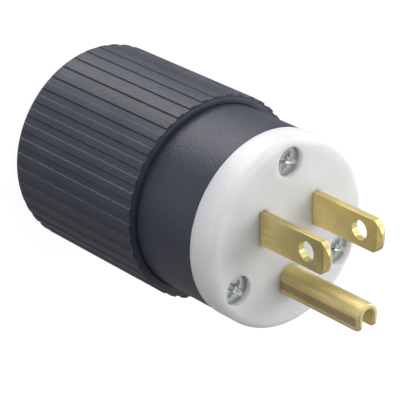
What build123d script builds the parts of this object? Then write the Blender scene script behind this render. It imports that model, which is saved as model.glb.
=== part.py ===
from build123d import *
import os
from math import cos, radians, sin

os.makedirs("parts", exist_ok=True)

# Industrial plug with a round ribbed grip, a white face, two flat blades and a U ground pin.
# It stands on its flat cord end: the origin is the middle of that face and +Z runs along the blades.
# +Y points from the ground pin to the blades. The hot blade is at -X and the neutral blade at +X.

# Grip shell, outside
shell_length = 35.1
shell_radius = 20.0
shell_rear_round = 1.25
shell_front_bevel = 0.25
lip_round = 0.9
rib_count = 42
rib_depth = 0.3
rib_share = 0.5
rib_turn = 6.7

# Grip shell, inside
rear_wall = 2.0
inlet_radius = 9.5
inlet_round = 0.8
cone_small_radius = 10.2
cone_length = 12.0
chamber_length = 11.0
seat_ledge = 3.5
housing_insert = 5.0
shell_wall = 3.0

# Nose of the terminal housing
nose_step = 1.85
nose_length = 15.0
nose_edge_bevel = 0.2
housing_wall = 3.15
housing_floor = 2.5
web_thickness = 1.7

# White face cover
face_overhang = 0.15
face_thickness = 6.3
face_edge_round = 1.5
cover_plate = 3.1
cover_rim = 2.4
cover_boss_wall = 1.5
spigot_length = 1.8
spigot_wall = 1.6

# Blades
blade_spacing = 12.7
blade_width = 6.35
blade_thickness = 1.52
blade_length = 17.25
blade_rise = 3.45
blade_straight = 15.4
blade_bevel_length = 1.05
blade_tip_thickness = 0.9
blade_hole_radius = 1.98
blade_hole_height = 11.8
shoulder_overhang = 1.5
shoulder_height = 2.5

# Ground pin, a strip formed into a U with its arch towards the blades
pin_drop = 11.89
pin_radius = 2.375
pin_depth = 4.95
pin_strip = 1.1
pin_pinch = 0.2
pin_crease = 1.7
pin_straight = 19.4
pin_length = 20.3
pin_tip_inset = 0.4
pin_toe_round = 1.0

# Terminal screws and their clamp plates
terminal_screw_radius = 1.9
terminal_head_radius = 3.0
terminal_head_height = 2.2
terminal_head_bevel = 0.35
terminal_slot = 0.9
terminal_slot_depth = 1.0
terminal_end = 2.2
terminal_screw_rise = 3.5
clamp_plate_thickness = 1.2
clamp_plate_height = 6.3
clamp_plate_side_gap = 0.35
wire_entry_radius = 2.5
wire_entry_offset = 2.6

# Assembly screws through the face into brass inserts in the grip shell
screw_count = 3
screw_inset = 3.95
screw_first_angle = 90.0
screw_slot_turns = (-23.0, -43.0, -26.0)
screw_radius = 1.75
screw_head_radius = 2.7
screw_head_height = 2.0
screw_head_bevel = 0.35
screw_recess = 1.2
screw_slot = 0.85
screw_slot_depth = 0.75
screw_cross_span = 3.3
screw_cross_depth = 1.3
screw_bite = 7.0
insert_radius = 2.6
insert_length = 7.4
insert_well = 2.5
boss_wall = 0.9
column_wall = 1.4
retainer_radius = 2.45
retainer_thickness = 0.8

# Cord grip
seal_thickness = 1.2
seal_bore_radius = 5.2
jaw_bore_radius = 6.4
jaw_gap = 2.0
tooth_depth = 0.6
tooth_flat = 0.5
tooth_count = 3
arm_thickness = 1.7
arm_width = 4.6
arm_inset = 0.35

# Clearances
running = 0.05
slot_clearance = 0.08
free_fit = 0.2
cut_over = 2.0
match = 0.01

# Levels and places that follow from the sizes above
parting = shell_length + nose_length
face_level = parting + face_thickness
ledge = shell_length - housing_insert
seat_top = rear_wall + cone_length
housing_rear = seat_top + chamber_length
floor_top = housing_rear + housing_floor
nose_radius = shell_radius - nose_step
face_radius = nose_radius + face_overhang
chamber_radius = shell_radius - shell_wall
cone_large_radius = chamber_radius - seat_ledge
cavity_radius = nose_radius - housing_wall
cover_under = face_level - cover_plate
head_seat = face_level - screw_recess - screw_head_height
shoulder_bottom = parting - shoulder_height
terminal_level = floor_top + terminal_screw_rise
blade_x = blade_spacing / 2
pin_y = blade_rise - pin_drop
tab_y = pin_y + pin_radius - pin_strip / 2
screw_tip = housing_rear - screw_bite
retainer_bottom = parting - retainer_thickness
insert_top = housing_rear - running * 2
insert_bottom = insert_top - insert_length
screw_circle = nose_radius - screw_inset
screw_angles = [screw_first_angle + 360.0 * k / screw_count for k in range(screw_count)]
screw_places = [(screw_circle * cos(radians(a)), screw_circle * sin(radians(a))) for a in screw_angles]


def disc(radius, low, high, x=0.0, y=0.0):
    """A round column between two levels."""
    return Pos(x, y, low) * Cylinder(radius, high - low, align=(Align.CENTER, Align.CENTER, Align.MIN))


def block(x_low, x_high, y_low, y_high, z_low, z_high):
    """A box between six planes."""
    middle = Pos((x_low + x_high) / 2, (y_low + y_high) / 2, (z_low + z_high) / 2)
    return middle * Box(x_high - x_low, y_high - y_low, z_high - z_low)


def turned(*corners):
    """A turned body: corners are (radius, level) pairs round its half section."""
    section = make_face(Plane.XZ * Polyline(*corners, close=True))
    return revolve(section, Axis.Z)


def round_edges(part, level, radius):
    """The circular edges of a radius at a level."""
    found = part.edges().filter_by(GeomType.CIRCLE)
    return [e for e in found if abs(e.center().Z - level) < match and abs(e.radius - radius) < match]


def cone_radius(level):
    """Radius of the clamping cone at a level."""
    slope = (cone_large_radius - cone_small_radius) / cone_length
    return cone_small_radius + slope * (level - rear_wall)


def rib_grooves():
    """Straight flutes between the grip ribs, as long as the shell."""
    pitch = 360.0 / rib_count
    floor_radius = shell_radius - rib_depth
    top_radius = shell_radius + cut_over
    half = radians(pitch * (1.0 - rib_share) / 2)
    reach = top_radius / cos(half)
    wedge = make_face(Polyline((0, 0), (reach * cos(half), -reach * sin(half)),
                               (reach * cos(half), reach * sin(half)), close=True))
    flute = wedge - Circle(floor_radius)
    middle = rib_turn - pitch * (1.0 - rib_share) / 2
    flutes = [Rot(0, 0, middle + pitch * k) * flute for k in range(rib_count)]
    return extrude(Pos(0, 0, -cut_over) * (Sketch() + flutes), shell_length + 2 * cut_over)


def grip_shell():
    """Ribbed cup that slides over the housing from behind, with the cord inlet and the clamping cone."""
    lip_bore = nose_radius + running * 2
    body = turned((inlet_radius, 0), (shell_radius, 0), (shell_radius, shell_length),
                  (lip_bore, shell_length), (lip_bore, ledge), (chamber_radius, ledge),
                  (chamber_radius, seat_top), (cone_large_radius, seat_top),
                  (cone_small_radius, rear_wall), (inlet_radius, rear_wall))
    body = fillet(round_edges(body, 0, shell_radius), shell_rear_round)
    body = fillet(round_edges(body, 0, inlet_radius), inlet_round)
    body = fillet(round_edges(body, shell_length, lip_bore), lip_round)
    body = chamfer(round_edges(body, shell_length, shell_radius), shell_front_bevel)
    body = body - rib_grooves()
    boss_radius = insert_radius + boss_wall
    for x, y in screw_places:
        body = body + disc(boss_radius, seat_top, insert_top, x, y)
    for x, y in screw_places:
        body = body - disc(insert_radius, insert_bottom, insert_top + cut_over, x, y)
        body = body - disc(screw_radius + free_fit, insert_bottom - insert_well, insert_bottom, x, y)
    return body


def blade_outline():
    """Side view of a blade above the parting line, with its round nose."""
    half = blade_width / 2
    straight_end = face_level + blade_straight
    sides = Polyline((-half, straight_end), (-half, parting), (half, parting), (half, straight_end))
    nose = ThreePointArc((half, straight_end), (0, face_level + blade_length), (-half, straight_end))
    return make_face(sides + nose)


def blade_section_guard():
    """Front view of a blade, narrowed towards the tip on both faces."""
    half = blade_thickness / 2
    tip = blade_tip_thickness / 2
    top = face_level + blade_length
    bevel = top - blade_bevel_length
    return make_face(Polyline((-half, floor_top), (half, floor_top), (half, bevel), (tip, top),
                              (-tip, top), (-half, bevel), close=True))


def blade(side):
    """Flat blade with a drilled hole, shoulders under the face and a leg down to its terminal screw."""
    x = side * blade_x
    half = blade_thickness / 2
    place = Pos(x, blade_rise, 0)
    body = place * extrude(Plane.YZ * blade_outline(), half, both=True)
    body = body & (place * extrude(Plane.XZ * blade_section_guard(), blade_width, both=True))
    hole = Rot(0, 90, 0) * Cylinder(blade_hole_radius, blade_thickness + 2 * cut_over)
    body = body - place * Pos(0, 0, face_level + blade_hole_height) * hole
    wide = blade_width / 2 + shoulder_overhang
    body = body + block(x - half, x + half, blade_rise - wide, blade_rise + wide, shoulder_bottom, parting)
    narrow = blade_width / 2
    leg = block(-half, half, -narrow, narrow, floor_top, shoulder_bottom)
    body = body + place * leg
    tapped = Rot(0, 90, 0) * Cylinder(terminal_screw_radius + running, blade_thickness + 2 * cut_over)
    return body - Pos(x, blade_rise, terminal_level) * tapped


def pin_outline(clearance=0.0):
    """Closed outline of the ground pin: a round arch over two legs pressed in slightly below a crease."""
    r = pin_radius + clearance
    foot = pin_radius - pin_depth - clearance
    inset = r - pin_pinch
    legs = Polyline((r, 0), (inset, -pin_crease), (inset, foot),
                    (-inset, foot), (-inset, -pin_crease), (-r, 0))
    arch = ThreePointArc((-r, 0), (0, r), (r, 0))
    return Pos(0, pin_y) * make_face(arch + legs)


def pin_hollow(clearance=0.0):
    """The open inside of the ground pin."""
    r = pin_radius - pin_strip - clearance
    foot = pin_radius - pin_depth - cut_over
    legs = Polyline((r, 0), (r, foot), (-r, foot), (-r, 0))
    return Pos(0, pin_y) * make_face(ThreePointArc((-r, 0), (0, r), (r, 0)) + legs)


def pin_side_guard():
    """Side view of the ground pin, with the toe of its legs rounded."""
    foot = pin_y + pin_radius - pin_depth - match
    back = pin_y + pin_radius + match
    top = face_level + pin_length
    toe_start = top - pin_toe_round
    middle = pin_toe_round * (1 - cos(radians(45)))
    sides = Polyline((foot, toe_start), (foot, shoulder_bottom), (back, shoulder_bottom), (back, top),
                     (foot + pin_toe_round, top))
    toe = ThreePointArc((foot + pin_toe_round, top), (foot + middle, top - middle), (foot, toe_start))
    return make_face(sides + toe)


def ground_pin():
    """Formed U pin with a tapered tip, shoulders under the face and a flat tab down to its screw."""
    straight_end = face_level + pin_straight
    bullet = extrude(Pos(0, 0, shoulder_bottom) * pin_outline(), straight_end - shoulder_bottom)
    tip_start = (Pos(0, 0, straight_end) * pin_outline()).face()
    tip_end = (Pos(0, 0, face_level + pin_length) * offset(pin_outline(), -pin_tip_inset)).face()
    channel = extrude(Pos(0, 0, shoulder_bottom - cut_over) * pin_hollow(), pin_length + face_level)
    guard = extrude(Plane.YZ * pin_side_guard(), pin_radius + match, both=True)
    body = ((bullet + loft([tip_start, tip_end])) & guard) - channel
    back = tab_y + pin_strip / 2
    front = tab_y - pin_strip / 2
    wide = blade_width / 2 + shoulder_overhang
    body = body + block(-wide, wide, front, back, shoulder_bottom, parting)
    body = body + block(-blade_width / 2, blade_width / 2, front, back, floor_top, shoulder_bottom)
    tapped = Rot(90, 0, 0) * Cylinder(terminal_screw_radius + running, pin_strip + 2 * cut_over)
    return body - Pos(0, tab_y, terminal_level) * tapped


def terminal_pocket_webs():
    """Walls that stand either side of each terminal leg and carry its shoulders."""
    near = blade_width / 2 + slot_clearance
    far = near + web_thickness
    webs = []
    for side in (-1, 1):
        for sign in (-1, 1):
            y_near = blade_rise + sign * near
            y_far = blade_rise + sign * far
            webs.append(block(min(0, side * cavity_radius), max(0, side * cavity_radius),
                              min(y_near, y_far), max(y_near, y_far), floor_top, shoulder_bottom))
    for sign in (-1, 1):
        webs.append(block(min(sign * near, sign * far), max(sign * near, sign * far),
                          -cavity_radius, 0, floor_top, shoulder_bottom))
    return webs


def centre_webs():
    """Three walls from the axis to the screw columns, which part the terminals from each other."""
    webs = []
    for angle in screw_angles:
        wall = block(0, screw_circle, -web_thickness / 2, web_thickness / 2, floor_top, shoulder_bottom)
        webs.append(Rot(0, 0, angle) * wall)
    return webs


def terminal_housing():
    """Black cup behind the face with one pocket for each terminal and three screw columns."""
    rear_radius = chamber_radius - running * 2
    body = turned((0, housing_rear), (rear_radius, housing_rear), (rear_radius, ledge),
                  (nose_radius, ledge), (nose_radius, parting), (0, parting))
    body = chamfer(round_edges(body, parting, nose_radius), nose_edge_bevel)
    cavity = disc(cavity_radius, floor_top, parting + cut_over)
    inside = disc(cavity_radius, floor_top, shoulder_bottom)
    body = body - cavity
    for wall in terminal_pocket_webs() + centre_webs():
        body = body + (wall & inside)
    for x, y in screw_places:
        column = disc(screw_radius + free_fit + column_wall, floor_top, parting, x, y)
        body = body + (column & disc(rear_radius, floor_top, parting))
    for x, y in screw_places:
        body = body - disc(screw_radius + free_fit, housing_rear - cut_over, parting + cut_over, x, y)
        body = body - disc(retainer_radius + running, retainer_bottom, parting + cut_over, x, y)
    for direction, x, y in terminals():
        window = disc(terminal_head_radius + free_fit, 0, 2 * nose_radius)
        body = body - terminal_frame(direction, x, y, clamp_plate_thickness) * window
    for x, y in wire_entries():
        body = body - disc(wire_entry_radius, housing_rear - cut_over, floor_top + cut_over, x, y)
    return body


def terminals():
    """Direction that each terminal screw's head points, and the middle of its strip."""
    return [(180, -blade_x, blade_rise), (0, blade_x, blade_rise), (-90, 0, tab_y)]


def wire_entries():
    """Middles of the holes through the housing floor, just outside each clamp plate's strip."""
    out_blade = blade_x + blade_thickness / 2 + wire_entry_offset
    out_ground = tab_y - pin_strip / 2 - wire_entry_offset
    return [(-out_blade, blade_rise), (out_blade, blade_rise), (0, out_ground)]


def terminal_frame(direction, x, y, strip):
    """Place on a terminal strip's outer face, with local +Z out along the screw and local X upright."""
    out = Vector(cos(radians(direction)), sin(radians(direction)), 0)
    corner = Vector(x, y, terminal_level) + out * (strip / 2)
    return Location(Plane(origin=corner, x_dir=(0, 0, 1), z_dir=out))


def clamp_plate(direction, x, y, strip):
    """Square plate that the terminal screw presses on the wire."""
    half_height = clamp_plate_height / 2
    half_width = blade_width / 2 - clamp_plate_side_gap
    plate = block(-half_height, half_height, -half_width, half_width, 0, clamp_plate_thickness)
    plate = plate - disc(terminal_screw_radius + running, -cut_over, clamp_plate_thickness + cut_over)
    return terminal_frame(direction, x, y, strip) * plate


def terminal_screw(direction, x, y, strip):
    """Slotted binding screw, run down on its clamp plate."""
    top = clamp_plate_thickness + terminal_head_height
    head = disc(terminal_head_radius, clamp_plate_thickness, top)
    head = chamfer(head.edges().sort_by(Axis.Z)[-1], terminal_head_bevel)
    head = head - block(-terminal_head_radius, terminal_head_radius, -terminal_slot / 2, terminal_slot / 2,
                        top - terminal_slot_depth, top + cut_over)
    shank = disc(terminal_screw_radius, -strip - terminal_end, clamp_plate_thickness)
    return terminal_frame(direction, x, y, strip) * (head + shank)


def face_cover():
    """White cover: a thick plate with a round edge, a rim, bosses for the screws and a spigot."""
    body = turned((0, parting), (face_radius, parting), (face_radius, face_level), (0, face_level))
    body = fillet(round_edges(body, face_level, face_radius), face_edge_round)
    body = chamfer(round_edges(body, parting, face_radius), nose_edge_bevel)
    below = parting - cut_over
    wide = blade_width / 2 + shoulder_overhang
    hollow = disc(face_radius - cover_rim, below, cover_under)
    for x, y in screw_places:
        hollow = hollow - disc(screw_head_radius + cover_boss_wall, below, cover_under, x, y)
    for side in (-1, 1):
        thick = blade_thickness / 2 + cover_boss_wall
        hollow = hollow - block(side * blade_x - thick, side * blade_x + thick,
                                blade_rise - wide, blade_rise + wide, below, cover_under)
    hollow = hollow - disc(pin_radius + pin_pinch + cover_boss_wall, below, cover_under, 0, pin_y)
    hollow = hollow - block(-wide, wide, tab_y - pin_strip, tab_y + pin_strip, below, cover_under)
    body = body - hollow
    column_radius = screw_radius + free_fit + column_wall
    spigot_radius = cavity_radius - running * 2
    spigot = disc(spigot_radius, parting - spigot_length, parting + cover_rim)
    spigot = spigot - disc(spigot_radius - spigot_wall, parting - spigot_length - cut_over, cover_under)
    for x, y in screw_places:
        spigot = spigot - disc(column_radius + free_fit, parting - spigot_length - cut_over, parting, x, y)
    body = body + spigot
    above = face_level + cut_over
    for side in (-1, 1):
        wide = blade_width / 2 + slot_clearance
        thick = blade_thickness / 2 + slot_clearance
        body = body - block(side * blade_x - thick, side * blade_x + thick,
                            blade_rise - wide, blade_rise + wide, below, above)
    slot = pin_outline(slot_clearance) - pin_hollow(slot_clearance)
    body = body - extrude(Pos(0, 0, below) * slot, above - below)
    for x, y in screw_places:
        body = body - disc(screw_radius + free_fit, below, above, x, y)
        body = body - disc(screw_head_radius + free_fit, head_seat, above, x, y)
    return body


def assembly_screw(x, y, turn):
    """Long combination head screw from the face to the insert in the grip shell."""
    top = head_seat + screw_head_height
    head = disc(screw_head_radius, head_seat, top)
    head = chamfer(head.edges().sort_by(Axis.Z)[-1], screw_head_bevel)
    half = screw_slot / 2
    arm = screw_cross_span / 2
    slot = block(-screw_head_radius, screw_head_radius, -half, half, top - screw_slot_depth, top + cut_over)
    cross = block(-arm, arm, -half, half, top - screw_cross_depth, top + cut_over)
    body = head - slot - cross - Rot(0, 0, 90) * cross
    body = body + disc(screw_radius, screw_tip, head_seat)
    return Pos(x, y, 0) * Rot(0, 0, turn) * body


def threaded_insert(x, y):
    """Brass bush set in the grip shell's boss."""
    body = disc(insert_radius, insert_bottom, insert_top, x, y)
    return body - disc(screw_radius + running, insert_bottom - cut_over, insert_top + cut_over, x, y)


def screw_retainer(x, y):
    """Washer that keeps an assembly screw in the housing when the cover is off."""
    body = disc(retainer_radius, retainer_bottom, parting, x, y)
    return body - disc(screw_radius + running, retainer_bottom - cut_over, parting + cut_over, x, y)


def cord_seal():
    """Soft washer at the inlet that closes round the cord."""
    body = disc(cone_radius(rear_wall) - running, rear_wall, rear_wall + seal_thickness)
    return body - disc(seal_bore_radius, rear_wall - cut_over, rear_wall + seal_thickness + cut_over)


def cord_jaw(side):
    """Half of the split cone that the housing pushes down its seat to grip the cord."""
    low = rear_wall + seal_thickness
    high = seat_top - running * 4
    pitch = (high - low) / tooth_count
    corners = [(cone_radius(low) - running, low), (cone_radius(high) - running, high)]
    for k in range(tooth_count):
        crest = high - pitch * (k + 1 / 2)
        corners.append((jaw_bore_radius + tooth_depth, high - pitch * k))
        corners.append((jaw_bore_radius, crest + tooth_flat / 2))
        corners.append((jaw_bore_radius, crest - tooth_flat / 2))
    corners.append((jaw_bore_radius + tooth_depth, low))
    reach = cone_large_radius + cut_over
    keep = block(jaw_gap / 2, reach, -reach, reach, low - cut_over, high + cut_over)
    outer = cone_radius(high) - running - arm_inset
    arm = block(outer - arm_thickness, outer, -arm_width / 2, arm_width / 2, high, housing_rear)
    half_jaw = (turned(*corners) & keep) + arm
    return half_jaw if side > 0 else mirror(half_jaw, Plane.YZ)


def main():
    """Makes every piece and writes one file for each."""
    pieces = {
        "grip_shell": grip_shell(),
        "terminal_housing": terminal_housing(),
        "face_cover": face_cover(),
        "hot_blade": blade(-1),
        "neutral_blade": blade(1),
        "ground_pin": ground_pin(),
        "cord_seal": cord_seal(),
        "cord_jaw_left": cord_jaw(-1),
        "cord_jaw_right": cord_jaw(1),
    }
    strips = {"hot": blade_thickness, "neutral": blade_thickness, "ground": pin_strip}
    for (name, strip), (direction, x, y) in zip(strips.items(), terminals()):
        pieces[name + "_clamp_plate"] = clamp_plate(direction, x, y, strip)
        pieces[name + "_terminal_screw"] = terminal_screw(direction, x, y, strip)
    for number, (x, y) in enumerate(screw_places, start=1):
        turn = screw_slot_turns[(number - 1) % len(screw_slot_turns)]
        pieces[f"assembly_screw_{number}"] = assembly_screw(x, y, turn)
        pieces[f"threaded_insert_{number}"] = threaded_insert(x, y)
        pieces[f"screw_retainer_{number}"] = screw_retainer(x, y)
    for name, piece in pieces.items():
        export_step(piece, f"parts/{name}.step")
        print(name, len(piece.solids()), round(piece.volume, 1))


main()
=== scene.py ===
import bpy
import bmesh
import math
import numpy as np
from mathutils import Matrix, Vector
from mathutils.geometry import tessellate_polygon


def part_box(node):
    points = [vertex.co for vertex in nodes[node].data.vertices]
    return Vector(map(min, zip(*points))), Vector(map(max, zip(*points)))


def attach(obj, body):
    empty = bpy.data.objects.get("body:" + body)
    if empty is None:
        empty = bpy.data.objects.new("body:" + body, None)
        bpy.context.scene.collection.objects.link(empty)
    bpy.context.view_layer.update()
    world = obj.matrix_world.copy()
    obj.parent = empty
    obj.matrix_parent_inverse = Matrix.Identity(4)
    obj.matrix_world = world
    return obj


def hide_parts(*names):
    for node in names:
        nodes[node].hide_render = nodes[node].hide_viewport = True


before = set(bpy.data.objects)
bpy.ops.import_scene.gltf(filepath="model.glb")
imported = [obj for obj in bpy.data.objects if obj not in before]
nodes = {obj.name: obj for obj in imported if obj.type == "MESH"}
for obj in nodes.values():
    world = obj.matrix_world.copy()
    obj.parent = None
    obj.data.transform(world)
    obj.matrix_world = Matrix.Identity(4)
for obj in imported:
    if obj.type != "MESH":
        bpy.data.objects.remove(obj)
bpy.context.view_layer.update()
print("frame loaded,", len(nodes), "CAD nodes")

# Lengths are in millimetres, and a mesh is brought to metres when it is made. Only the camera, the lights
# and the floor are given in metres.
metre = 0.001
weld = 0.002  # points of a piece that lie closer than this become one
hold = 0.03  # distance from a round to the row beside it that keeps the next surface flat
screwAngles = (90, 210, 330)  # where the assembly screws stand round the axis, in degrees
screwCircle = 14.2  # and how far from it


def boxOf(node):
    # lowest and highest corner of a CAD node
    low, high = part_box(node)
    return np.array(low) / metre, np.array(high) / metre


# surfaces

def roundedPath(corners, steps, beside=0.02):
    # each corner (a, b, radius) becomes an arc that touches both its sides, and has a point just beside
    # each of its ends
    corners = np.array(corners, float)
    places = corners[:, :2]
    points = []
    for i, (place, radius) in enumerate(zip(places, corners[:, 2])):
        before = places[i - 1] - place
        after = places[(i + 1) % len(places)] - place
        before /= np.linalg.norm(before)
        after /= np.linalg.norm(after)
        if radius == 0:
            points.append(place[None, :])
            continue
        half = 0.5 * math.acos(np.clip(before @ after, -1, 1))
        reach = radius / math.tan(half)
        middle = (before + after) / np.linalg.norm(before + after)
        centre = place + middle * radius / math.sin(half)
        start, end = place + before * reach, place + after * reach
        first = math.atan2(*(start - centre)[::-1])
        sweep = (math.atan2(*(end - centre)[::-1]) - first + math.pi) % (2 * math.pi) - math.pi
        angles = first + sweep * np.linspace(0, 1, steps + 1)
        arc = centre + radius * np.stack([np.cos(angles), np.sin(angles)], 1)
        points.append(np.vstack([start + before * beside, arc, end + after * beside]))
    return np.vstack(points)


def gridFaces(rows, columns, wrapRows, wrapColumns):
    index = np.arange(rows * columns).reshape(rows, columns)
    if wrapRows:
        index = np.vstack([index, index[:1]])
    if wrapColumns:
        index = np.hstack([index, index[:, :1]])
    corners = [index[:-1, :-1], index[1:, :-1], index[1:, 1:], index[:-1, 1:]]
    return np.stack(corners, -1).reshape(-1, 4)


def turnedSurface(profile, angles, place=(0.0, 0.0), radial=None, level=None, closed=True):
    # the profile's (radius, height) pairs turned about an upright axis by each angle a, to
    # (radius cos a, radius sin a, height); radial and level may change the radius and the height first
    radius = np.repeat(profile[:, :1], len(angles), 1)
    height = np.repeat(profile[:, 1:], len(angles), 1)
    turn = np.repeat(angles[None, :], len(profile), 0)
    if radial:
        radius = radial(radius, turn)
    if level:
        height = level(radius, height, turn)
    points = np.stack([place[0] + radius * np.cos(turn), place[1] + radius * np.sin(turn), height], -1)
    return points.reshape(-1, 3), gridFaces(len(profile), len(angles), closed, True)


def insetLoop(loop, amount):
    # every corner of an anticlockwise loop moved inwards, by amount from both its sides
    side = np.roll(loop, -1, 0) - loop
    normal = np.stack([-side[:, 1], side[:, 0]], 1) / np.linalg.norm(side, axis=1)[:, None]
    earlier = np.roll(normal, 1, 0)
    return loop + amount * (earlier + normal) / (1 + (earlier * normal).sum(1))[:, None]


def plateSurface(outline, holes, noseCount, half, edges, holeEdges, steps=4, noseColumns=10):
    # a flat strip whose edges are rounded by one radius on its +x side and by another on its -x side:
    # quarter rounds are carried along each loop with a flat rim between them, and two flat sides close it
    # the outline starts with noseCount points over the round nose, from its right end to its left one
    quarter = np.linspace(0, math.pi / 2, steps + 1)
    parts = []
    for loop, sign, radii in [(outline, 1, edges)] + [(h, -1, holeEdges) for h in holes]:
        strip = []
        for side, radius in zip((1, -1), radii):
            inset = np.concatenate([[radius + hold], radius * (1 - np.sin(quarter)), [0.0]])
            drop = np.concatenate([[0.0], radius * (1 - np.cos(quarter)), [radius + hold]])
            moved = [insetLoop(loop, sign * amount) for amount in inset]
            rows = [np.column_stack([side * (half(m[:, 1]) - fall), m]) for m, fall in zip(moved, drop)]
            strip += rows[::side]
        parts.append((np.vstack(strip), gridFaces(len(strip), len(loop), False, True)))
    # the nose's two halves are joined by columns, and what is left of each side is cut into triangles
    rows = (noseCount + 1) // 2
    share = np.linspace(0, 1, noseColumns + 1)[None, :, None]
    for side, radius, holeRadius in zip((1, -1), edges, holeEdges):
        rim = insetLoop(outline, radius + hold)
        right, left = rim[:rows], rim[noseCount - rows:noseCount][::-1]
        nose = right[:, None, :] * (1 - share) + left[:, None, :] * share
        body = np.vstack([rim[noseCount - 1:], rim[:1], nose[0, 1:-1]]) if noseCount else rim
        loops = [body] + [insetLoop(h, -holeRadius - hold)[::-1] for h in holes]
        flat = np.vstack(loops)
        triangles = np.array(tessellate_polygon([[Vector((*p, 0)) for p in loop] for loop in loops]))
        parts.append((np.column_stack([side * half(flat[:, 1]), flat]), triangles))
        if noseCount:
            points = nose.reshape(-1, 2)
            parts.append((np.column_stack([side * half(points[:, 1]), points]),
                          gridFaces(rows, noseColumns + 1, False, False)))
    return parts


def circle(count, radius, centre):
    angles = np.linspace(0, 2 * math.pi, count, endpoint=False)
    return np.array(centre) + radius * np.stack([np.cos(angles), np.sin(angles)], 1)


def makePiece(name, parts, material, replaced):
    # the parts are (points, faces) pairs, merged where they meet and turned to face outwards
    points, faces, start = [], [], 0
    for places, corners in parts:
        points.append(places)
        faces += (corners + start).tolist()
        start += len(places)
    mesh = bpy.data.meshes.new(name)
    mesh.from_pydata((np.vstack(points) * metre).tolist(), [], faces)
    work = bmesh.new()
    work.from_mesh(mesh)
    bmesh.ops.remove_doubles(work, verts=work.verts, dist=weld * metre)
    bmesh.ops.recalc_face_normals(work, faces=work.faces)
    openEdges = sum(1 for e in work.edges if len(e.link_faces) != 2)
    work.to_mesh(mesh)
    work.free()
    mesh.polygons.foreach_set("use_smooth", np.ones(len(mesh.polygons), bool))
    mesh.materials.append(material)
    piece = bpy.data.objects.new(name, mesh)
    bpy.context.scene.collection.objects.link(piece)
    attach(piece, "root")
    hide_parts(*replaced)
    print(f"{name}: {len(mesh.polygons)} faces, {openEdges} edges without two faces")


# materials

def shaderOf(tree):
    return tree.nodes["Principled BSDF"]


def newMaterial(name, **settings):
    material = bpy.data.materials.new(name)
    material.use_nodes = True
    for socket, value in settings.items():
        shaderOf(material.node_tree).inputs[socket.replace("_", " ")].default_value = value
    return material


def objectNoise(tree, scale, detail, roughness=0.5, stretch=(1, 1, 1)):
    # noise on Object coordinates, with scale in features per metre
    place = tree.nodes.new("ShaderNodeTexCoord")
    mapping = tree.nodes.new("ShaderNodeMapping")
    mapping.inputs["Scale"].default_value = stretch
    noise = tree.nodes.new("ShaderNodeTexNoise")
    noise.inputs["Scale"].default_value = scale
    noise.inputs["Detail"].default_value = detail
    noise.inputs["Roughness"].default_value = roughness
    tree.links.new(place.outputs["Object"], mapping.inputs["Vector"])
    tree.links.new(mapping.outputs["Vector"], noise.inputs["Vector"])
    return noise.outputs["Fac"]


def ramp(tree, value, low, high, first, second):
    # first below low, second above high, blended between; each is a colour or a grey level
    node = tree.nodes.new("ShaderNodeValToRGB")
    for stop, position, tone in zip(node.color_ramp.elements, (low, high), (first, second)):
        stop.position = position
        stop.color = (*np.broadcast_to(tone, 3), 1)
    tree.links.new(value, node.inputs["Fac"])
    return node.outputs["Color"]


def surfaceLook(tree, cloud, cloudRange, tones, fine, roughRange, depth):
    # the tones follow the slow noise, and the roughness and a bump of the given depth follow the fine one
    shader = shaderOf(tree)
    tree.links.new(ramp(tree, cloud, *cloudRange, *tones), shader.inputs["Base Color"])
    rough = ramp(tree, fine, low=0.3, high=0.7, first=roughRange[0], second=roughRange[1])
    tree.links.new(rough, shader.inputs["Roughness"])
    bump = tree.nodes.new("ShaderNodeBump")
    bump.inputs["Distance"].default_value = depth * metre
    bump.inputs["Strength"].default_value = 1.0
    tree.links.new(fine, bump.inputs["Height"])
    tree.links.new(bump.outputs["Normal"], shader.inputs["Normal"])


def plasticMaterial(name, dark, light, roughRange, grain, grainDepth, specular, **more):
    # an even grain, of so many grains per metre, over a slow change of tone
    material = newMaterial(name, Specular_IOR_Level=specular, **more)
    tree = material.node_tree
    cloud = objectNoise(tree, scale=140, detail=4)
    fine = objectNoise(tree, scale=grain, detail=0.5, roughness=0.4)
    surfaceLook(tree, cloud, (0.35, 0.7), (dark, light), fine, roughRange, grainDepth)
    return material


def metalMaterial(name, dark, light, roughRange, streak, streakDepth):
    # fine lines along the height, longer where streak is small, over a slow change of tone
    material = newMaterial(name, Metallic=1.0)
    tree = material.node_tree
    cloud = objectNoise(tree, scale=260, detail=5, roughness=0.6, stretch=(1, 1, 0.5))
    lines = objectNoise(tree, scale=3000, detail=3, roughness=0.6, stretch=(1, 1, streak))
    surfaceLook(tree, cloud, (0.3, 0.72), (dark, light), lines, roughRange, streakDepth)
    return material


def brassMaterial(name, dark, light, roughRange=(0.34, 0.48)):
    return metalMaterial(name, dark, light, roughRange, streak=0.04, streakDepth=0.004)


blackNylon = plasticMaterial("blackNylon", (0.033, 0.037, 0.057), (0.042, 0.046, 0.070), (0.38, 0.5),
                             grain=4600, grainDepth=0.075, specular=0.5)
whiteNylon = plasticMaterial("whiteNylon", (0.775, 0.79, 0.795), (0.835, 0.845, 0.85), (0.36, 0.46),
                             grain=2500, grainDepth=0.006, specular=0.45, Subsurface_Weight=0.8,
                             Subsurface_Radius=(1.0, 0.97, 0.9), Subsurface_Scale=0.004)
brass = brassMaterial("brass", (0.58, 0.478, 0.2), (0.755, 0.634, 0.29))
# both blades are the same brass: the hot blade's darker copy is painted shade, and the neutral blade's
# lighter copy is painted light
hotBladeShadedBrass = brassMaterial("hotBladeShadedBrass", (0.51, 0.42, 0.175), (0.7, 0.588, 0.268))
neutralBladeLitBrass = brassMaterial("neutralBladeLitBrass", (0.63, 0.52, 0.218), (0.815, 0.685, 0.315))
zincSteel = metalMaterial("zincSteel", (0.44, 0.465, 0.46), (0.56, 0.59, 0.585), (0.24, 0.34),
                          streak=0.4, streakDepth=0.0012)
plateSteel = metalMaterial("plateSteel", (0.45, 0.44, 0.42), (0.58, 0.57, 0.55), (0.3, 0.45),
                           streak=0.2, streakDepth=0.004)
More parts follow.
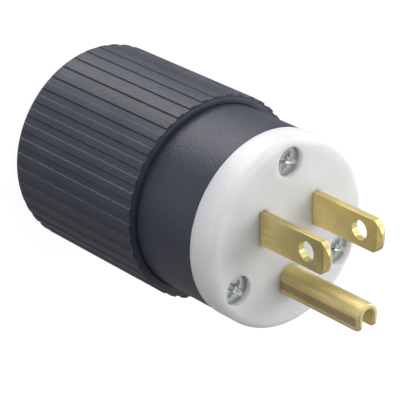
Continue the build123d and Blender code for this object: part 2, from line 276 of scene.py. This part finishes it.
greenScrew = metalMaterial("greenScrew", (0.03, 0.22, 0.08), (0.07, 0.4, 0.16), (0.25, 0.4),
                           streak=0.4, streakDepth=0.004)
sealRubber = plasticMaterial("sealRubber", (0.02, 0.02, 0.02), (0.035, 0.035, 0.035), (0.7, 0.85),
                             grain=2500, grainDepth=0.02, specular=0.3)
retainerFibre = plasticMaterial("retainerFibre", (0.25, 0.07, 0.05), (0.33, 0.1, 0.07), (0.6, 0.75),
                                grain=2500, grainDepth=0.02, specular=0.3)
print("materials made")

# CAD nodes that keep their own shape
keptNodes = {
    "terminal_housing": blackNylon, "face_cover": whiteNylon, "cord_seal": sealRubber,
    "cord_jaw_left": blackNylon, "cord_jaw_right": blackNylon,
    "hot_clamp_plate": plateSteel, "neutral_clamp_plate": plateSteel, "ground_clamp_plate": plateSteel,
    "hot_terminal_screw": brass, "neutral_terminal_screw": zincSteel, "ground_terminal_screw": greenScrew,
}
for number in (1, 2, 3):
    keptNodes[f"threaded_insert_{number}"] = brass
    keptNodes[f"screw_retainer_{number}"] = retainerFibre
for node, material in keptNodes.items():
    nodes[node].data.materials.clear()
    nodes[node].data.materials.append(material)

# grip shell
shellHigh = boxOf("grip_shell")[1]
grip = {
    "radius": shellHigh[0], "length": shellHigh[2], "ribs": 42, "ribTurn": 6.7, "landShare": 0.5,
    "ribDepth": 0.3, "ribWall": 0.22, "rearRound": 1.25, "frontRound": 0.12, "small": 0.15,
    "lipReach": 0.5, "lipRise": 0.07, "lipBore": 18.25, "lipDepth": 5.0, "lipFoot": 0.05, "chamber": 17.0,
    "seatTop": 14.0, "coneTop": 13.5, "coneBottom": 10.2, "rearWall": 2.0, "inlet": 9.5, "inletRound": 0.8,
    "bossRadius": 3.5, "bossTop": 24.9, "bossSink": 0.3, "bossSides": 48, "insertRadius": 2.6,
    "insertBottom": 17.5, "wellRadius": 1.95, "wellBottom": 15.0,
    # turns before and after the place where the rear round leaves a groove's floor
    "leaveTurns": (-0.02, 0.0, 0.02),
    # rows across a rib's wall, in half widths of the wall
    "wallRows": (-1.7, -1.1, -0.6, 0.0, 0.6, 1.1, 1.7),
}


def ribHeight(angle):
    # 1 on a rib, 0 in a groove, with a smooth step 3 s^2 - 2 s^3 across each wall
    pitch = 2 * math.pi / grip["ribs"]
    phase = ((angle - math.radians(grip["ribTurn"])) / pitch) % 1.0
    share = grip["landShare"]
    inside = np.minimum(phase, share - phase)
    outside = np.minimum(phase - share, 1 - phase)
    distance = np.where(phase < share, inside, -outside) * pitch * grip["radius"]
    step = np.clip(distance / grip["ribWall"] + 0.5, 0, 1)
    return step * step * (3 - 2 * step)


def ribbedRadius(radius, angle):
    # the turned profile is cut off at the groove's floor, and keeps its own radius on a rib
    return np.minimum(radius, grip["radius"] - grip["ribDepth"] * (1 - ribHeight(angle)))


def gripShell():
    g = grip
    # the rear round is split where a groove's floor leaves it, so that the edge there stays sharp
    floor = g["radius"] - g["ribDepth"]
    centre = g["radius"] - g["rearRound"]
    leave = math.acos((floor - centre) / g["rearRound"])
    turns = np.concatenate([np.linspace(-math.pi / 2, -leave, 9)[:-1], -leave + np.array(g["leaveTurns"]),
                            np.linspace(-leave, 0, 6)[1:]])
    rear = np.stack([centre + g["rearRound"] * np.cos(turns), g["rearRound"] * (1 + np.sin(turns)),
                     np.zeros(len(turns))], 1)
    # the lip is a low bead round the mouth, half an ellipse in section
    turns = np.linspace(0, math.pi, 17)
    lip = np.stack([g["lipBore"] + g["lipReach"] * (1 + np.cos(turns)),
                    g["length"] + g["lipRise"] * np.sin(turns), np.zeros(len(turns))], 1)
    profile = roundedPath([
        (g["inlet"], 0, g["inletRound"]), (centre - hold, 0, 0), *rear,
        (g["radius"], g["rearRound"] + hold, 0), (g["radius"], g["length"], g["frontRound"]),
        (floor, g["length"], 0), (floor - hold, g["length"], 0),
        (g["lipBore"] + 2 * g["lipReach"] + hold, g["length"], 0), *lip,
        (g["lipBore"], g["length"] - g["lipFoot"], 0),
        (g["lipBore"], g["length"] - g["lipDepth"], g["small"]),
        (g["chamber"], g["length"] - g["lipDepth"], g["small"]), (g["chamber"], g["seatTop"], g["small"]),
        (g["coneTop"], g["seatTop"], g["small"]), (g["coneBottom"], g["rearWall"], g["small"]),
        (g["inlet"], g["rearWall"], g["small"]),
    ], steps=8)
    # a pitch runs from one rib's wall over the rib and the groove to the next rib's wall
    edge = np.array(g["wallRows"]) * g["ribWall"] / g["radius"] / (2 * math.pi / g["ribs"]) / 2
    share = g["landShare"]
    phases = np.concatenate([edge, [share / 2], share + edge, [(1 + share) / 2]])
    turns = (np.arange(g["ribs"])[:, None] + phases[None, :]).ravel() * 2 * math.pi / g["ribs"]
    parts = [turnedSurface(profile, turns + math.radians(g["ribTurn"]), radial=ribbedRadius)]
    boss = roundedPath([
        (0, g["seatTop"] - g["bossSink"], 0), (g["bossRadius"], g["seatTop"] - g["bossSink"], 0),
        (g["bossRadius"], g["bossTop"], g["small"]), (g["insertRadius"], g["bossTop"], g["small"]),
        (g["insertRadius"], g["insertBottom"], 0), (g["wellRadius"], g["insertBottom"], 0),
        (g["wellRadius"], g["wellBottom"], 0), (0, g["wellBottom"], 0),
    ], steps=3)
    around = np.linspace(0, 2 * math.pi, g["bossSides"], endpoint=False)
    for turn in np.radians(screwAngles):
        place = (screwCircle * math.cos(turn), screwCircle * math.sin(turn))
        parts.append(turnedSurface(boss, around, place, closed=False))
    makePiece("gripShell", parts, blackNylon, ["grip_shell"])


gripShell()

# blades
bladeLow, bladeHigh = boxOf("hot_blade")
faceLevel = boxOf("face_cover")[1][2]
# just below the face, blades and pin swell between these two depths and close the slots round them
seam = {"start": 0.03, "end": 0.07, "swell": 0.06}
blade = {
    "x": 6.35, "rise": 3.45, "width": 6.35, "thickness": 1.52, "top": bladeHigh[2], "straight": 15.4,
    "bevelStart": 16.2, "tipThickness": 0.84, "holeRadius": 1.9, "holeHeight": 11.8,
    "farEdge": 0.24, "nearEdge": 0.07, "holeFarEdge": 0.2, "holeNearEdge": 0.08,
    "shoulderTop": 50.1, "shoulderBottom": 47.6, "shoulderReach": 1.5, "shoulderHold": 0.5,
    "bottom": bladeLow[2], "screwHole": 1.95, "screwLevel": 31.0, "cornerHold": 0.14, "creaseTurn": 0.012,
}


def bladeHalf(height):
    # half the thickness: it falls in a straight line towards the tip, and has the swell below the seam
    b = blade
    start = faceLevel + b["bevelStart"]
    share = np.clip((height - start) / (b["top"] - start), 0, 1)
    depth = faceLevel - seam["start"] - height
    swell = seam["swell"] * np.clip(depth / (seam["end"] - seam["start"]), 0, 1)
    return (b["thickness"] + (b["tipThickness"] - b["thickness"]) * share) / 2 + swell


def bladePiece(name, side, material, node):
    # the nose is an arc of the circle through its two ends and its top
    b = blade
    half = b["width"] / 2
    straight = faceLevel + b["straight"]
    rise = b["top"] - straight
    radius = (half * half + rise * rise) / (2 * rise)
    sweep = math.asin(half / radius)
    crease = math.acos((faceLevel + b["bevelStart"] - b["top"] + radius) / radius)
    beside = np.array([0.0, b["cornerHold"] / radius])
    bevelEdge = crease + np.array([-1, 1]) * b["creaseTurn"]
    turns = np.unique(np.concatenate([np.linspace(0, sweep, 18)[:-1], sweep - beside, bevelEdge]))
    turns = np.concatenate([turns[::-1], -turns[1:]])
    nose = np.stack([radius * np.sin(turns), b["top"] - radius + radius * np.cos(turns)], 1)
    wide = half + b["shoulderReach"]
    left = np.array([
        (-half, straight - b["cornerHold"]), (-half, faceLevel - seam["start"]),
        (-half, faceLevel - seam["end"]), (-half, b["shoulderTop"] + b["shoulderHold"]),
        (-half, b["shoulderTop"]), (-wide, b["shoulderTop"]), (-wide, b["shoulderBottom"]),
        (-half, b["shoulderBottom"]), (-half, b["bottom"])])
    legs = np.vstack([left, left[::-1] * (-1, 1)])
    holes = [circle(64, b["holeRadius"], (0, faceLevel + b["holeHeight"])),
             circle(32, b["screwHole"], (0, b["screwLevel"]))]
    parts = plateSurface(np.vstack([nose, legs]), holes, len(nose), bladeHalf,
                         (b["farEdge"], b["nearEdge"]), (b["holeFarEdge"], b["holeNearEdge"]))
    place = np.array([side * b["x"], b["rise"], 0])
    makePiece(name, [(points + place, faces) for points, faces in parts], material, [node])


bladePiece("hotBlade", -1, hotBladeShadedBrass, "hot_blade")
bladePiece("neutralBlade", 1, neutralBladeLitBrass, "neutral_blade")

# ground pin
pinLow, pinHigh = boxOf("ground_pin")
pin = {
    "y": -8.44, "radius": 2.375, "depth": 4.95, "strip": 1.1, "pinch": 0.2, "crease": 1.7,
    "top": pinHigh[2], "tipLength": 0.9, "tipDepth": 0.35, "innerRound": 0.4, "toe": 1.0, "foot": 0.14,
    "bottom": 47.6, "creaseHold": 0.12, "archEnd": 0.015, "wallRows": (6.0, 3.0),
    "tabBottom": pinLow[2], "tabWidth": 6.35, "tabReach": 1.5, "tabTop": 50.1, "screwHole": 1.95,
    "screwLevel": 31.0, "edge": 0.12,
    # the band of painted shade along each side: its tint, how far it stays off the tip and reaches in from
    # the side, and how soft its borders are along y, x and z
    "bandShadeTint": (0.7, 0.65, 0.78), "bandEnd": 0.95, "bandSide": 0.4, "bandSoft": (0.06, 0.05, 0.12),
    # the tip's painted highlight: its tint, which grows from tipSoft below tipStart to tipSoft above it,
    # as depths below the top
    "tipHighlightTint": (1.34, 1.35, 1.52), "tipStart": 7.0, "tipSoft": 6.0,
}


def pinPaths():
    # matching points along the strip's outer and inner faces, from the left foot over the arch, a half
    # circle, to the right foot
    p = pin
    foot = p["radius"] - p["depth"]
    inner = p["radius"] - p["strip"]
    arch = np.linspace(math.pi, 0, 41)
    arch = np.concatenate([[math.pi - p["archEnd"]], arch[1:-1], [p["archEnd"]]])
    low = np.concatenate([np.linspace(foot + p["foot"], -p["crease"] - p["creaseHold"], 5),
                          -p["crease"] + np.array([-hold, 0.0, hold, p["creaseHold"]]),
                          [-p["crease"] / 2, -hold, 0.0]])
    # the legs lean in from the arch to the crease, and are straight below it
    flare = p["radius"] - p["pinch"] * np.clip(-low / p["crease"], 0, 1)
    leftOuter = np.stack([-flare, low], 1)
    leftInner = np.stack([np.full(len(low), -inner), low], 1)
    outerArch = p["radius"] * np.stack([np.cos(arch), np.sin(arch)], 1)
    innerArch = inner * np.stack([np.cos(arch), np.sin(arch)], 1)
    flip = np.array([-1, 1])
    outer = np.vstack([leftOuter, outerArch, leftOuter[::-1] * flip])
    inside = np.vstack([leftInner, innerArch, leftInner[::-1] * flip])
    # the foot's edge: the section narrows in a quarter round, then closes on its middle line
    turns = np.radians([90, 60, 30])
    step = p["foot"] * np.stack([1 - np.cos(turns), -np.sin(turns)], 1)
    capOuter = outer[0] + step
    capInner = inside[0] + step * flip
    middle = (capOuter[:1] + capInner[:1]) / 2
    paths = []
    for cap, path in ((capOuter, outer), (capInner, inside)):
        cap = np.vstack([middle, cap])
        paths.append(np.vstack([cap, path, (cap * flip)[::-1]]))
    return paths


def objectPlace(tree):
    # the Object coordinates, apart
    place = tree.nodes.new("ShaderNodeTexCoord")
    split = tree.nodes.new("ShaderNodeSeparateXYZ")
    tree.links.new(place.outputs["Object"], split.inputs["Vector"])
    return split.outputs


def product(tree, first, second):
    node = tree.nodes.new("ShaderNodeMath")
    node.operation = "MULTIPLY"
    tree.links.new(first, node.inputs[0])
    tree.links.new(second, node.inputs[1])
    return node.outputs["Value"]


def within(tree, value, low, high, soft):
    # 1 where the value lies between low and high, 0 outside, with borders that are soft on both sides
    edges = []
    for start, end in ((low - soft, low + soft), (high + soft, high - soft)):
        node = tree.nodes.new("ShaderNodeMapRange")
        node.inputs["From Min"].default_value = start * metre
        node.inputs["From Max"].default_value = end * metre
        tree.links.new(value, node.inputs["Value"])
        edges.append(node.outputs["Result"])
    return product(tree, *edges)


def tintWhere(tree, mask, tint):
    # the base colour multiplied by a tint where the mask is 1
    socket = shaderOf(tree).inputs["Base Color"]
    mix = tree.nodes.new("ShaderNodeMix")
    mix.data_type = "RGBA"
    mix.blend_type = "MULTIPLY"
    tree.links.new(mask, mix.inputs["Factor"])
    tree.links.new(socket.links[0].from_socket, mix.inputs["A"])
    mix.inputs["B"].default_value = (*tint, 1)
    tree.links.new(mix.outputs["Result"], socket)


def pinBrass():
    # brass with painted shade, darker in a band along each side, and a painted highlight, paler towards
    # the tip
    p = pin
    material = brassMaterial("pinBrass", (0.52, 0.435, 0.19), (0.7, 0.595, 0.285), (0.5, 0.64))
    tree = material.node_tree
    place = objectPlace(tree)
    side = tree.nodes.new("ShaderNodeMath")
    side.operation = "ABSOLUTE"
    tree.links.new(place["X"], side.inputs[0])
    top, radius, soft = p["top"], p["radius"], p["bandSoft"]
    # the band's mask, where the tint paints shade
    along = within(tree, place["Y"], p["y"] - p["crease"], p["y"], soft[0])
    outside = within(tree, side.outputs["Value"], radius - p["bandSide"], radius + 1, soft[1])
    below = within(tree, place["Z"], p["bottom"], top - p["bandEnd"], soft[2])
    tintWhere(tree, product(tree, product(tree, along, outside), below), p["bandShadeTint"])
    # the tip's mask, where the tint paints a highlight
    tip = within(tree, place["Z"], top - p["tipStart"], top + 2 * p["tipSoft"], p["tipSoft"])
    tintWhere(tree, tip, p["tipHighlightTint"])
    return material


def groundPin():
    # the pin is the strip's section carried along both paths, and a flat tab hangs from it
    p = pin
    outer, inside = pinPaths()
    foot = p["radius"] - p["depth"]
    rise = np.clip(outer[:, 1] - foot, 0, p["toe"])
    end = p["top"] - (p["toe"] - np.sqrt(p["toe"] ** 2 - (p["toe"] - rise) ** 2))
    # the section's loop over the end, as depth below the outer face and distance down from the end:
    # a quarter ellipse outside, a short flat end and a quarter circle inside
    turn = np.linspace(0, math.pi / 2, 9)
    reach, fall, bend, strip = p["tipDepth"], p["tipLength"], p["innerRound"], p["strip"]
    depth = np.concatenate([[0, 0, 0], reach * (1 - np.cos(turn)), [reach + hold, strip - bend - hold],
                            strip - bend * (1 - np.sin(turn)), [strip] * 3])
    down = np.concatenate([[*p["wallRows"], fall + hold], fall * (1 - np.sin(turn)), [0, 0],
                           bend * (1 - np.cos(turn)), [bend + hold, *p["wallRows"][::-1]]])
    # below the seam the strip is thicker by the swell
    more = seam["swell"] / strip
    share = np.concatenate([[-more, -more, 0.0], depth / strip, [1.0, 1 + more, 1 + more]])
    levels = np.repeat(end[None, :], len(share), 0)
    drop = np.repeat(down[:, None], len(outer), 1)
    drop[:, [0, -1]] = (down + down[::-1])[:, None] / 2  # the feet's edges, where both faces meet
    levels[3:-3] -= drop
    slot = np.array([p["bottom"], faceLevel - seam["end"], faceLevel - seam["start"]])
    levels[:3] = slot[:, None]
    levels[-3:] = slot[::-1, None]
    flat = outer[None, :, :] * (1 - share)[:, None, None] + inside[None, :, :] * share[:, None, None]
    points = np.concatenate([flat, levels[:, :, None]], 2).reshape(-1, 3) + np.array([0, p["y"], 0])
    parts = [(points, gridFaces(len(share), len(outer), True, False))]
    half, wide = p["tabWidth"] / 2, p["tabWidth"] / 2 + p["tabReach"]
    right = np.array([(half, p["tabBottom"]), (half, p["bottom"]), (wide, p["bottom"]),
                      (wide, p["tabTop"])])
    outline = np.vstack([right, right[::-1] * (-1, 1)])
    edges = (p["edge"], p["edge"])
    tab = plateSurface(outline, [circle(32, p["screwHole"], (0, p["screwLevel"]))], 0,
                       lambda height: np.full(np.shape(height), strip / 2), edges, edges)
    middle = p["y"] + p["radius"] - strip / 2
    for places, faces in tab:
        parts.append((np.column_stack([places[:, 1], middle - places[:, 0], places[:, 2]]), faces))
    makePiece("groundPin", parts, pinBrass(), ["ground_pin"])


groundPin()

# assembly screws
screwLow, screwHigh = boxOf("assembly_screw_1")
screw = {
    "head": 2.88, "top": screwHigh[2], "headHeight": 2.0, "dome": 0.12, "underRound": 0.1, "shank": 1.75,
    "tip": screwLow[2], "tipBevel": 0.5, "turns": (-23.0, -43.0, -26.0), "sides": 160,
    "slotHalf": 0.5, "slotDepth": 0.85, "slotRise": 0.5, "slotWall": 0.2,
    "crossReach": 1.7, "crossDepth": 1.1, "crossHalf": 0.4, "crossWall": 0.2,
    # an arm's width at its root and the part of it lost at its end, and the share of the arm that rises
    "armRoot": 1.15, "armTaper": 0.35, "armRise": 0.45,
    # tint of the painted glints in the slot, the heights below the top between which they lie, and their
    # soft border
    "glintTint": (2.05, 2.0, 2.0), "glintBottom": 0.9, "glintTop": 0.2, "glintSoft": 0.06,
}


def screwZinc():
    # zinc steel, brighter in the slot, where glints are painted
    s = screw
    material = metalMaterial("screwZinc", (0.33, 0.352, 0.345), (0.45, 0.476, 0.468), (0.2, 0.28),
                             streak=0.4, streakDepth=0.0012)
    tree = material.node_tree
    height = objectPlace(tree)["Z"]
    glintMask = within(tree, height, s["top"] - s["glintBottom"], s["top"] - s["glintTop"], s["glintSoft"])
    tintWhere(tree, glintMask, s["glintTint"])
    return material


def recessDepth(x, y):
    # the deeper of a slot across the head, whose floor rises to both ends with x^2, and a cross whose
    # arms grow narrower outwards and rise to the surface over their outer part; walls are straight slopes
    s = screw
    floor = s["slotDepth"] - s["slotRise"] * (x / s["head"]) ** 2
    slot = floor * np.clip((s["slotHalf"] - np.abs(y)) / s["slotWall"] + 0.5, 0, 1)
    far = np.maximum(np.abs(x), np.abs(y))
    near = np.minimum(np.abs(x), np.abs(y))
    reach = s["crossReach"]
    width = s["crossHalf"] * (s["armRoot"] - s["armTaper"] * far / reach)
    arm = np.clip((width - near) / s["crossWall"] + 0.5, 0, 1)
    cross = s["crossDepth"] * arm * np.clip((reach - far) / (s["armRise"] * reach), 0, 1)
    return np.maximum(slot, cross)


def assemblyScrew(number, place, turn, material):
    # the flat crown has close rings for the recess, and the profile goes on from its rim, without the
    # three points of the path that lie on the crown
    s = screw
    bottom = s["top"] - s["headHeight"]
    rings = np.linspace(0, s["head"] - s["dome"], 40)
    crown = np.stack([rings, np.full(len(rings), s["top"])], 1)
    rest = roundedPath([
        (0, s["top"], 0), (s["head"], s["top"], s["dome"]), (s["head"], bottom, s["underRound"]),
        (s["shank"], bottom, 0), (s["shank"], s["tip"] + s["tipBevel"], 0),
        (s["shank"] - s["tipBevel"], s["tip"], 0), (0, s["tip"], 0)], steps=6)[3:]
    profile = np.vstack([crown, rest])

    def level(radius, height, angle):
        x = radius * np.cos(angle - math.radians(turn))
        y = radius * np.sin(angle - math.radians(turn))
        cut = np.minimum(height, s["top"] - recessDepth(x, y))
        return np.where(height > s["top"] - s["headHeight"] / 2, cut, height)

    around = np.linspace(0, 2 * math.pi, s["sides"], endpoint=False)
    surface = turnedSurface(profile, around, place, level=level, closed=False)
    makePiece(f"assemblyScrew{number}", [surface], material, [f"assembly_screw_{number}"])


# the screws' zinc, with glints painted into the slot
glintZinc = screwZinc()
for number, (angle, turn) in enumerate(zip(np.radians(screwAngles), screw["turns"]), start=1):
    place = (screwCircle * math.cos(angle), screwCircle * math.sin(angle))
    assemblyScrew(number, place, turn, glintZinc)
print("pieces made")

# camera, where a pinhole fitted to the photograph puts it, with the picture's three directions
camera = {
    "place": (-0.235131, 0.170627, 0.313305), "right": (0.76391, -0.01324, 0.64519),
    "up": (0.28361, 0.90495, -0.31723), "back": (-0.57966, 0.42532, 0.69506),
    "lens": 194.986, "sensor": 36.0, "clipStart": 0.01, "clipEnd": 20.0,
}
cameraData = bpy.data.cameras.new("camera")
cameraData.lens = camera["lens"]
cameraData.sensor_width = camera["sensor"]
cameraData.clip_start = camera["clipStart"]
cameraData.clip_end = camera["clipEnd"]
cameraObject = bpy.data.objects.new("camera", cameraData)
bpy.context.scene.collection.objects.link(cameraObject)
turned = Matrix([camera["right"], camera["up"], camera["back"]]).transposed()
cameraObject.matrix_world = Matrix.Translation(camera["place"]) @ turned.to_4x4()
bpy.context.scene.camera = cameraObject

# floor and light
studio = {
    "floorSize": 3.0, "floorLevel": -0.0002, "floorColour": (0.2, 0.2, 0.2), "floorRoughness": 0.9,
    "floorGlow": 0.92, "world": 0.295, "middle": (0, 0, 0.04),
    # each white light: share along the picture's right, up and towards the camera, distance, size, power
    "lights": {
        "topRight": (0.7, 0.7, 0.2, 0.7, 0.35, 0.6),
        "left": (-1.0, 0.1, 0.4, 0.7, 0.35, 0.56),
        "right": (1.0, 0.1, 0.4, 0.7, 0.35, 1.36),
        "frontTop": (0.0, 0.5, 0.9, 0.7, 0.35, 0.33),
        "frontLeft": (-0.6, 0.0, 0.8, 0.7, 0.35, 0.2),
        "frontRight": (0.6, 0.0, 0.8, 0.7, 0.35, 0.66),
        "topBack": (0.0, 1.0, -0.4, 0.7, 0.35, 0.4),
        "backLeft": (-1.0, 0.6, -0.5, 0.7, 0.35, 0.21),
        "backRight": (1.0, 0.6, -0.5, 0.7, 0.35, 1.68),
        "crownBack": (-0.4, 0.9, -0.2, 0.7, 0.2, 0.65),
        "crownFront": (-0.4, 0.9, 0.1, 0.7, 0.2, 1.2),
        "crownRight": (-0.2, 0.95, -0.3, 0.7, 0.2, 0.5),
        "lowLeft": (-0.7, -0.7, 0.3, 0.7, 0.35, 0.27),
        "lowRight": (0.9, -0.44, -0.03, 0.7, 0.35, 0.24),
        "lowBack": (0.75, -0.27, -0.6, 0.7, 0.35, 0.85),
        "nearRight": (0.6, 0.8, 0.3, 0.14, 0.1, 0.018),
        "nearFront": (0.0, 0.7, 0.7, 0.14, 0.1, 0.017),
    },
}


def softLight(name, right, up, back, distance, size, power):
    # a disk that stands off from the middle in the given direction, and faces it
    axes = np.array([camera["right"], camera["up"], camera["back"]])
    away = np.array([right, up, back]) @ axes
    away /= np.linalg.norm(away)
    data = bpy.data.lights.new(name, "AREA")
    data.shape = "DISK"
    data.size = size
    data.energy = power
    light = bpy.data.objects.new(name, data)
    bpy.context.scene.collection.objects.link(light)
    light.visible_camera = False
    light.location = Vector(studio["middle"]) + Vector(away) * distance
    light.rotation_euler = Vector(away).to_track_quat("Z", "Y").to_euler()


for name, values in studio["lights"].items():
    softLight(name, *values)

world = bpy.data.worlds.new("studio")
world.use_nodes = True
world.node_tree.nodes["Background"].inputs["Color"].default_value = (1.0, 1.0, 1.0, 1.0)
world.node_tree.nodes["Background"].inputs["Strength"].default_value = studio["world"]
bpy.context.scene.world = world

floorMaterial = newMaterial("floor", Base_Color=(*studio["floorColour"], 1), Emission_Color=(1, 1, 1, 1),
                            Emission_Strength=studio["floorGlow"], Roughness=studio["floorRoughness"])
reach, level = studio["floorSize"], studio["floorLevel"]
corners = [(x * reach, y * reach, level) for x, y in ((-1, -1), (1, -1), (1, 1), (-1, 1))]
floorMesh = bpy.data.meshes.new("floor")
floorMesh.from_pydata(corners, [], [(0, 1, 2, 3)])
floorMesh.materials.append(floorMaterial)
floor = bpy.data.objects.new("floor", floorMesh)
bpy.context.scene.collection.objects.link(floor)
# some lights stand lower than the floor, which lets them through and stays out of the reflections
floor.visible_shadow = False
floor.visible_diffuse = False
floor.visible_glossy = False

view = bpy.context.scene.view_settings
view.view_transform = "Standard"
view.look = "None"
print("studio made")
